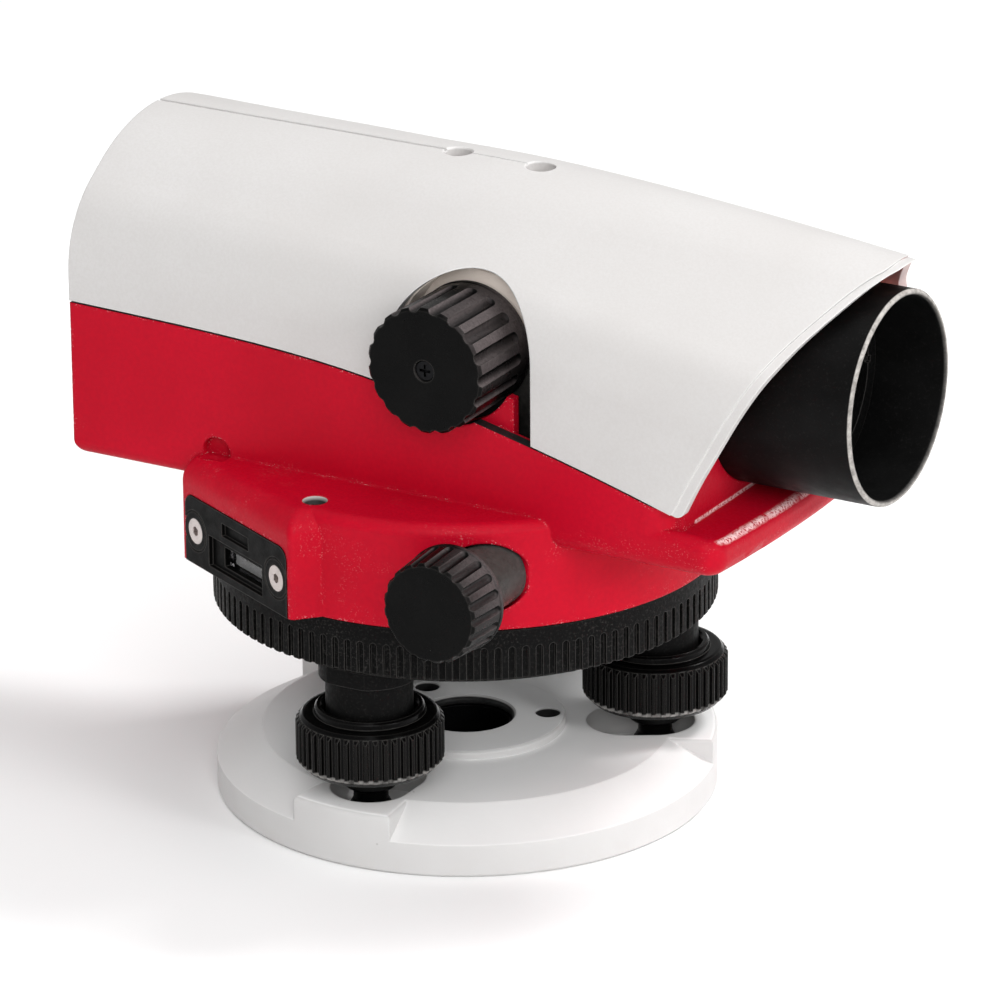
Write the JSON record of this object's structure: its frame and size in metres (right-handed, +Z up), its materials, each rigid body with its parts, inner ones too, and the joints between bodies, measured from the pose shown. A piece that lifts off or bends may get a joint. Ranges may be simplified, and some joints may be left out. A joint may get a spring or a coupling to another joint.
{
  "type": "automatic level",
  "caption": "Surveying level with a short telescope, focus knob, cross-shaft drive knobs, knurled horizontal circle and levelling foot screws on a round base plate.",
  "frame": {"origin": "centre of the base plate's bottom face, on the vertical axis and the tripod thread's axis", "axes": "+Z up along the vertical axis, +X out of the objective along the line of sight, +Y to the left of the line of sight"},
  "size_m": [0.167, 0.1174, 0.1223],
  "materials": {
    "pale_paint": "satin paint on die-cast aluminium",
    "pale_plastic": "fine-textured moulded plastic",
    "red_paint": "satin powder coat on die-cast aluminium",
    "black_plastic": "satin moulded plastic",
    "black_metal": "matte black anodised or painted metal",
    "black_rubber": "soft matte rubber",
    "brass": "turned brass",
    "bronze": "sintered bronze",
    "steel": "machined steel",
    "dark_steel": "blackened steel",
    "aluminium": "machined aluminium",
    "lens_glass": "clear polished",
    "level_fluid": "clear tinted fluid",
    "mirror": "polished"
  },
  "bodies": {
    "base": {"base_plate": "pale_paint", "tripod_bush": "dark_steel", "spring_plate": "steel", "spring_screws": "brass"},
    "foot_screw_right": {"foot_knob_right": "black_plastic", "foot_stem_right": "brass"},
    "foot_screw_front": {"foot_knob_front": "black_plastic", "foot_stem_front": "brass"},
    "foot_screw_rear": {"foot_knob_rear": "black_plastic", "foot_stem_rear": "brass"},
    "tribrach": {"tribrach": "black_metal", "foot_sleeves": "black_metal", "vertical_spindle": "steel", "spindle_nut": "steel", "clutch_spring": "steel"},
    "circle": {"circle_ring": "black_metal", "graduated_circle": "aluminium"},
    "drive_wheel": {"worm_wheel": "brass"},
    "drive_shaft": {"worm_shaft": "steel", "drive_knob_right": "black_plastic", "drive_knob_left": "black_plastic"},
    "focus_drive": {"focus_shaft": "steel", "focus_knob": "black_plastic", "focus_screw": "steel"},
    "focus_carriage": {"lens_carriage": "brass", "focusing_lens": "lens_glass"},
    "pendulum": {"pendulum": "aluminium", "compensator_prism": "lens_glass"},
    "eyepiece": {"dioptre_ring": "black_plastic", "eye_lens": "lens_glass", "eyecup": "black_rubber"},
    "head": {"body_casting": "red_paint", "compensator_frame": "aluminium", "cover_screws": "steel", "cover_shell": "pale_plastic", "crown_lens": "lens_glass", "drive_bushes": "bronze", "eyepiece_tube": "black_metal", "flint_lens": "lens_glass", "focus_boss": "pale_plastic", "focus_bush": "bronze", "head_bearing": "bronze", "housing_screw": "steel", "level_cup": "brass", "level_fluid": "level_fluid", "level_hood": "black_plastic", "level_mirror": "mirror", "level_vial": "lens_glass", "objective_hood": "black_metal", "retaining_ring": "black_metal", "reticle_glass": "lens_glass", "reticle_ring": "brass", "reticle_screw": "steel", "suspension_tapes": "steel", "telescope_tube": "aluminium", "window_frame": "black_plastic", "window_glass": "lens_glass", "window_screws": "steel"}
  },
  "joints": [
    {"name": "foot_screw_right_turn", "type": "hinge", "parent": "base", "child": "foot_screw_right", "pos_m": [0, -0.0349, 0], "axis": [0, 0, 1], "range_deg": [-720, 720]},
    {"name": "foot_screw_front_turn", "type": "hinge", "parent": "base", "child": "foot_screw_front", "pos_m": [0.03022, 0.01745, 0], "axis": [0, 0, 1], "range_deg": [-720, 720]},
    {"name": "foot_screw_rear_turn", "type": "hinge", "parent": "base", "child": "foot_screw_rear", "pos_m": [-0.03022, 0.01745, 0], "axis": [0, 0, 1], "range_deg": [-720, 720]},
    {"name": "levelling_lift", "type": "slide", "parent": "base", "child": "tribrach", "axis": [0, 0, 1], "range_m": [-0.002, 0.002]},
    {"name": "circle_turn", "type": "hinge", "parent": "tribrach", "child": "circle", "pos_m": [0, 0, 0.043], "axis": [0, 0, 1], "continuous": true},
    {"name": "clutch_slip", "type": "hinge", "parent": "tribrach", "child": "drive_wheel", "pos_m": [0, 0, 0.0583], "axis": [0, 0, 1], "continuous": true},
    {"name": "head_turn", "type": "hinge", "parent": "drive_wheel", "child": "head", "pos_m": [0, 0, 0.065], "axis": [0, 0, 1], "continuous": true},
    {"name": "drive_knob_turn", "type": "hinge", "parent": "head", "child": "drive_shaft", "pos_m": [0.0266, 0, 0.0583], "axis": [0, 1, 0], "continuous": true},
    {"name": "focus_knob_turn", "type": "hinge", "parent": "head", "child": "focus_drive", "pos_m": [0.015, 0, 0.0953], "axis": [0, 1, 0], "range_deg": [-155, 155]},
    {"name": "focus_slide", "type": "slide", "parent": "head", "child": "focus_carriage", "axis": [1, 0, 0], "range_m": [-0.0083, 0.0083]},
    {"name": "compensator_swing", "type": "hinge", "parent": "head", "child": "pendulum", "pos_m": [-0.034, 0, 0.104], "axis": [0, 1, 0], "range_deg": [-0.5, 0.5]},
    {"name": "dioptre_turn", "type": "hinge", "parent": "head", "child": "eyepiece", "pos_m": [-0.07, 0, 0.0905], "axis": [1, 0, 0], "range_deg": [-150, 150]}
  ],
  "couplings": [
    {"joint": "foot_screw_right_turn", "follows": "levelling_lift", "rad_per_m": 6283.2},
    {"joint": "foot_screw_front_turn", "follows": "levelling_lift", "rad_per_m": 6283.2},
    {"joint": "foot_screw_rear_turn", "follows": "levelling_lift", "rad_per_m": 6283.2},
    {"joint": "drive_knob_turn", "follows": "head_turn", "ratio": 60},
    {"joint": "focus_slide", "follows": "focus_knob_turn", "m_per_rad": -0.003}
  ]
}
